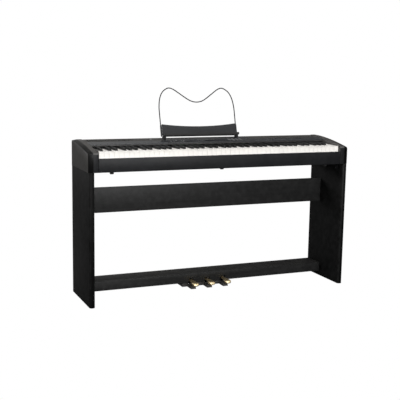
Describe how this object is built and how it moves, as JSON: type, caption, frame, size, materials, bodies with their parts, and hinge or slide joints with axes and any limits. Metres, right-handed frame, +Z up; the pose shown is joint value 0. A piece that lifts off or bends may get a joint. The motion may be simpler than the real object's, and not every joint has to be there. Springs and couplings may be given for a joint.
{
  "type": "digital piano on stand",
  "caption": "Digital piano with a full-size keyboard, tilted control deck and wire music rest, on a black panel stand with a lower rail and a pedal unit.",
  "frame": {"origin": "on the floor, at the centre of the bounding box's bottom face: midway between the side panels, and midway between the panels' front edges and the rearmost point of the music rest's wire", "axes": "+X to the player's right, along the keyboard; +Y away from the player; +Z up"},
  "size_m": [1.3236, 0.3386, 0.9732],
  "materials": {
    "stand_laminate": "fine-grained black laminate on board",
    "case_black": "finely textured black moulded plastic",
    "panel_gloss": "smooth dark overlay",
    "key_white": "warm white, satin",
    "key_black": "satin black",
    "chassis_grey": "moulded grey",
    "felt": "red felt",
    "board_green": "circuit board",
    "rubber": "matt black rubber",
    "spring_steel": "bright spring steel",
    "wire_grey": "dark grey coated steel wire",
    "brass": "polished brass",
    "button_grey": "light grey plastic",
    "display": "dark window",
    "speaker_black": "black cloth and paper"
  },
  "bodies": {
    "stand_and_case": {"bottom_case": "case_black", "contact_board": "board_green", "control_panel": "panel_gloss", "cross_panel": "stand_laminate", "display_window": "display", "foot_front_left": "rubber", "foot_front_right": "rubber", "foot_middle": "rubber", "foot_rear_left": "rubber", "foot_rear_right": "rubber", "jack_panel": "panel_gloss", "key_chassis": "chassis_grey", "key_slip": "case_black", "key_stop_felt": "felt", "left_end_block": "case_black", "left_side_panel": "stand_laminate", "main_board": "board_green", "panel_board": "board_green", "pedal_base_plate": "case_black", "pedal_cover": "case_black", "pedal_rod": "spring_steel", "rail_front_board": "stand_laminate", "rail_top_board": "stand_laminate", "return_spring_comb": "spring_steel", "right_end_block": "case_black", "right_side_panel": "stand_laminate", "rubber_contact_strip": "rubber", "soft_pedal_spring": "spring_steel", "sostenuto_pedal_spring": "spring_steel", "speaker_grille_left": "speaker_black", "speaker_grille_right": "speaker_black", "speaker_left": "speaker_black", "speaker_right": "speaker_black", "sustain_pedal_spring": "spring_steel", "top_case": "case_black"},
    "key_c4": {"key_c4": "key_white"},
    "key_d4": {"key_d4": "key_white"},
    "key_e4": {"key_e4": "key_white"},
    "key_f4": {"key_f4": "key_white"},
    "key_g4": {"key_g4": "key_white"},
    "key_a4": {"key_a4": "key_white"},
    "key_b4": {"key_b4": "key_white"},
    "key_c_sharp_4": {"key_c_sharp_4": "key_black"},
    "key_d_sharp_4": {"key_d_sharp_4": "key_black"},
    "key_f_sharp_4": {"key_f_sharp_4": "key_black"},
    "key_g_sharp_4": {"key_g_sharp_4": "key_black"},
    "key_a_sharp_4": {"key_a_sharp_4": "key_black"},
    "bass_white_keys": {"bass_white_keys": "key_white"},
    "treble_white_keys": {"treble_white_keys": "key_white"},
    "bass_black_keys": {"bass_black_keys": "key_black"},
    "treble_black_keys": {"treble_black_keys": "key_black"},
    "voice_buttons": {"voice_buttons": "button_grey"},
    "function_buttons": {"function_buttons": "button_grey"},
    "power_button": {"power_button": "button_grey"},
    "volume_slider": {"volume_slider": "button_grey"},
    "music_rest": {"rest_ledge": "case_black", "rest_wire": "wire_grey"},
    "soft_pedal": {"soft_pedal": "brass"},
    "sostenuto_pedal": {"sostenuto_pedal": "brass"},
    "sustain_pedal": {"sustain_pedal": "brass"}
  },
  "joints": [
    {"name": "key_c4_hinge", "type": "hinge", "parent": "stand_and_case", "child": "key_c4", "pos_m": [-0.06342, 0.06363, 0.6914], "axis": [1, 0, 0], "range_deg": [0, 2.6], "stiffness_Nm_per_rad": 1, "springref_deg": -10.31},
    {"name": "key_d4_hinge", "type": "hinge", "parent": "stand_and_case", "child": "key_d4", "pos_m": [-0.03525, 0.06363, 0.6914], "axis": [1, 0, 0], "range_deg": [0, 2.6], "stiffness_Nm_per_rad": 1, "springref_deg": -10.31},
    {"name": "key_e4_hinge", "type": "hinge", "parent": "stand_and_case", "child": "key_e4", "pos_m": [-0.00707, 0.06363, 0.6914], "axis": [1, 0, 0], "range_deg": [0, 2.6], "stiffness_Nm_per_rad": 1, "springref_deg": -10.31},
    {"name": "key_f4_hinge", "type": "hinge", "parent": "stand_and_case", "child": "key_f4", "pos_m": [0.00658, 0.06363, 0.6914], "axis": [1, 0, 0], "range_deg": [0, 2.6], "stiffness_Nm_per_rad": 1, "springref_deg": -10.31},
    {"name": "key_g4_hinge", "type": "hinge", "parent": "stand_and_case", "child": "key_g4", "pos_m": [0.03325, 0.06363, 0.6914], "axis": [1, 0, 0], "range_deg": [0, 2.6], "stiffness_Nm_per_rad": 1, "springref_deg": -10.31},
    {"name": "key_a4_hinge", "type": "hinge", "parent": "stand_and_case", "child": "key_a4", "pos_m": [0.06075, 0.06363, 0.6914], "axis": [1, 0, 0], "range_deg": [0, 2.6], "stiffness_Nm_per_rad": 1, "springref_deg": -10.31},
    {"name": "key_b4_hinge", "type": "hinge", "parent": "stand_and_case", "child": "key_b4", "pos_m": [0.08743, 0.06363, 0.6914], "axis": [1, 0, 0], "range_deg": [0, 2.6], "stiffness_Nm_per_rad": 1, "springref_deg": -10.31},
    {"name": "key_c_sharp_4_hinge", "type": "hinge", "parent": "stand_and_case", "child": "key_c_sharp_4", "pos_m": [-0.05, 0.06363, 0.6914], "axis": [1, 0, 0], "range_deg": [0, 2.6], "stiffness_Nm_per_rad": 0.6, "springref_deg": -10.31},
    {"name": "key_d_sharp_4_hinge", "type": "hinge", "parent": "stand_and_case", "child": "key_d_sharp_4", "pos_m": [-0.0205, 0.06363, 0.6914], "axis": [1, 0, 0], "range_deg": [0, 2.6], "stiffness_Nm_per_rad": 0.6, "springref_deg": -10.31},
    {"name": "key_f_sharp_4_hinge", "type": "hinge", "parent": "stand_and_case", "child": "key_f_sharp_4", "pos_m": [0.0195, 0.06363, 0.6914], "axis": [1, 0, 0], "range_deg": [0, 2.6], "stiffness_Nm_per_rad": 0.6, "springref_deg": -10.31},
    {"name": "key_g_sharp_4_hinge", "type": "hinge", "parent": "stand_and_case", "child": "key_g_sharp_4", "pos_m": [0.047, 0.06363, 0.6914], "axis": [1, 0, 0], "range_deg": [0, 2.6], "stiffness_Nm_per_rad": 0.6, "springref_deg": -10.31},
    {"name": "key_a_sharp_4_hinge", "type": "hinge", "parent": "stand_and_case", "child": "key_a_sharp_4", "pos_m": [0.0745, 0.06363, 0.6914], "axis": [1, 0, 0], "range_deg": [0, 2.6], "stiffness_Nm_per_rad": 0.6, "springref_deg": -10.31},
    {"name": "bass_white_keys_hinge", "type": "hinge", "parent": "stand_and_case", "child": "bass_white_keys", "pos_m": [0, 0.06363, 0.6914], "axis": [1, 0, 0], "range_deg": [0, 2.6], "stiffness_Nm_per_rad": 23, "springref_deg": -10.31},
    {"name": "treble_white_keys_hinge", "type": "hinge", "parent": "stand_and_case", "child": "treble_white_keys", "pos_m": [0, 0.06363, 0.6914], "axis": [1, 0, 0], "range_deg": [0, 2.6], "stiffness_Nm_per_rad": 22, "springref_deg": -10.31},
    {"name": "bass_black_keys_hinge", "type": "hinge", "parent": "stand_and_case", "child": "bass_black_keys", "pos_m": [0, 0.06363, 0.6914], "axis": [1, 0, 0], "range_deg": [0, 2.6], "stiffness_Nm_per_rad": 9.6, "springref_deg": -10.31},
    {"name": "treble_black_keys_hinge", "type": "hinge", "parent": "stand_and_case", "child": "treble_black_keys", "pos_m": [0, 0.06363, 0.6914], "axis": [1, 0, 0], "range_deg": [0, 2.6], "stiffness_Nm_per_rad": 9, "springref_deg": -10.31},
    {"name": "voice_buttons_press", "type": "slide", "parent": "stand_and_case", "child": "voice_buttons", "axis": [0, 0.0916, -0.9958], "range_m": [0, 0.001], "stiffness_N_per_m": 400, "springref_m": -0.001},
    {"name": "function_buttons_press", "type": "slide", "parent": "stand_and_case", "child": "function_buttons", "axis": [0, 0.0916, -0.9958], "range_m": [0, 0.001], "stiffness_N_per_m": 400, "springref_m": -0.001},
    {"name": "power_button_press", "type": "slide", "parent": "stand_and_case", "child": "power_button", "axis": [0, 0.0916, -0.9958], "range_m": [0, 0.001], "stiffness_N_per_m": 300, "springref_m": -0.001},
    {"name": "volume_slide", "type": "slide", "parent": "stand_and_case", "child": "volume_slider", "axis": [0, 0.9958, 0.0916], "range_m": [-0.009, 0.033]},
    {"name": "music_rest_lift", "type": "slide", "parent": "stand_and_case", "child": "music_rest", "axis": [0, 0, 1], "range_m": [0, 0.03]},
    {"name": "soft_pedal_hinge", "type": "hinge", "parent": "stand_and_case", "child": "soft_pedal", "pos_m": [-0.096, 0.09163, 0.0335], "axis": [1, 0, 0], "range_deg": [0, 6], "stiffness_Nm_per_rad": 10, "springref_deg": -5.73, "deforming": ["soft_pedal_spring"]},
    {"name": "sostenuto_pedal_hinge", "type": "hinge", "parent": "stand_and_case", "child": "sostenuto_pedal", "pos_m": [-0.01, 0.09163, 0.0335], "axis": [1, 0, 0], "range_deg": [0, 6], "stiffness_Nm_per_rad": 10, "springref_deg": -5.73, "deforming": ["sostenuto_pedal_spring"]},
    {"name": "sustain_pedal_hinge", "type": "hinge", "parent": "stand_and_case", "child": "sustain_pedal", "pos_m": [0.076, 0.09163, 0.0335], "axis": [1, 0, 0], "range_deg": [0, 6], "stiffness_Nm_per_rad": 10, "springref_deg": -5.73, "deforming": ["sustain_pedal_spring"]}
  ]
}
